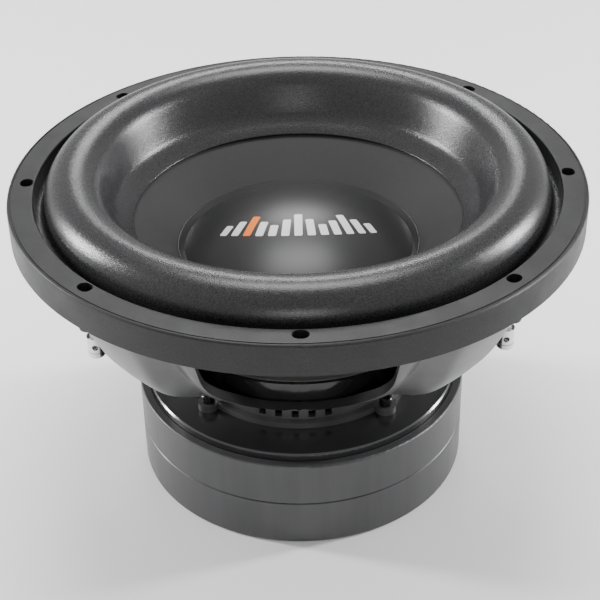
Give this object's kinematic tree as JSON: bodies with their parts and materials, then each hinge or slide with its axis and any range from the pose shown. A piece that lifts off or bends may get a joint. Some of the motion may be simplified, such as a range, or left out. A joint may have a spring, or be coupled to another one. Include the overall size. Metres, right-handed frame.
{
  "type": "car subwoofer driver",
  "caption": "Round car subwoofer driver: big foam surround, black cone and dome, cast grey basket, booted double magnet and chrome push terminals.",
  "frame": {"origin": "centre of the mounting bolt circle on the back face of the flange", "axes": "+Z along the driver's axis, out of the cone; terminals at +X and -X"},
  "size_m": [0.325, 0.325, 0.2008],
  "materials": {
    "rubber_trim": "moulded, slightly speckled",
    "foam": "fine-grained foam roll, satin",
    "pulp": "smooth black cone, satin",
    "cap_plastic": "smooth matt dome",
    "print_white": "white print",
    "print_orange": "orange print",
    "former_aluminium": "plain",
    "copper_wire": "varnished copper wire",
    "cloth": "impregnated cloth, black",
    "gloss_black": "gloss black",
    "basket_paint": "cast aluminium under satin grey paint",
    "screw_steel": "bright zinc",
    "screw_black": "black oxide",
    "plate_black": "turned steel with gloss black plating",
    "ferrite": "pressed ferrite",
    "boot_rubber": "smooth satin boot",
    "block_plastic": "moulded black",
    "red_plastic": "red washer",
    "terminal_chrome": "bright chrome plate",
    "brass_tag": "tinned brass",
    "lead_braid": "braided tinsel"
  },
  "bodies": {
    "frame": {"trim_gasket": "rubber_trim", "surround": "foam", "spider_upper": "cloth", "spider_lower": "cloth", "spider_spacer": "gloss_black", "basket": "basket_paint", "basket_screws": "screw_black", "top_plate": "plate_black", "magnet_upper": "ferrite", "magnet_lower": "ferrite", "back_plate_and_pole": "plate_black", "shorting_ring": "former_aluminium", "vent_mesh": "screw_steel", "boot_upper": "boot_rubber", "boot_lower": "boot_rubber", "terminal_block_right": "block_plastic", "terminal_block_left": "block_plastic", "block_screws": "screw_steel", "insulators_red": "red_plastic", "insulators_black": "block_plastic", "solder_lugs": "brass_tag", "stud_nuts": "screw_steel", "terminal_post_1": "terminal_chrome", "terminal_spring_1": "screw_steel", "tinsel_lead_1": "lead_braid", "terminal_post_2": "terminal_chrome", "terminal_spring_2": "screw_steel", "tinsel_lead_2": "lead_braid", "terminal_post_3": "terminal_chrome", "terminal_spring_3": "screw_steel", "tinsel_lead_3": "lead_braid", "terminal_post_4": "terminal_chrome", "terminal_spring_4": "screw_steel", "tinsel_lead_4": "lead_braid"},
    "cone_assembly": {"cone": "pulp", "dust_cap": "cap_plastic", "cap_bars": "print_white", "cap_accent_bar": "print_orange", "coil_former": "former_aluminium", "coil_inner_winding": "copper_wire", "coil_outer_winding": "copper_wire", "coil_collar": "pulp"},
    "button_1": {"terminal_button_1": "terminal_chrome"},
    "button_2": {"terminal_button_2": "terminal_chrome"},
    "button_3": {"terminal_button_3": "terminal_chrome"},
    "button_4": {"terminal_button_4": "terminal_chrome"}
  },
  "joints": [
    {"name": "cone_stroke", "type": "slide", "parent": "frame", "child": "cone_assembly", "axis": [0, 0, 1], "range_m": [-0.015, 0.015], "stiffness_N_per_m": 8000, "deforming": ["surround", "spider_upper", "spider_lower", "tinsel_lead_1", "tinsel_lead_2", "tinsel_lead_3", "tinsel_lead_4"]},
    {"name": "push_1", "type": "slide", "parent": "frame", "child": "button_1", "axis": [0, 0, 1], "range_m": [0, 0.004], "stiffness_N_per_m": 1500, "deforming": ["terminal_spring_1"]},
    {"name": "push_2", "type": "slide", "parent": "frame", "child": "button_2", "axis": [0, 0, 1], "range_m": [0, 0.004], "stiffness_N_per_m": 1500, "deforming": ["terminal_spring_2"]},
    {"name": "push_3", "type": "slide", "parent": "frame", "child": "button_3", "axis": [0, 0, 1], "range_m": [0, 0.004], "stiffness_N_per_m": 1500, "deforming": ["terminal_spring_3"]},
    {"name": "push_4", "type": "slide", "parent": "frame", "child": "button_4", "axis": [0, 0, 1], "range_m": [0, 0.004], "stiffness_N_per_m": 1500, "deforming": ["terminal_spring_4"]}
  ]
}
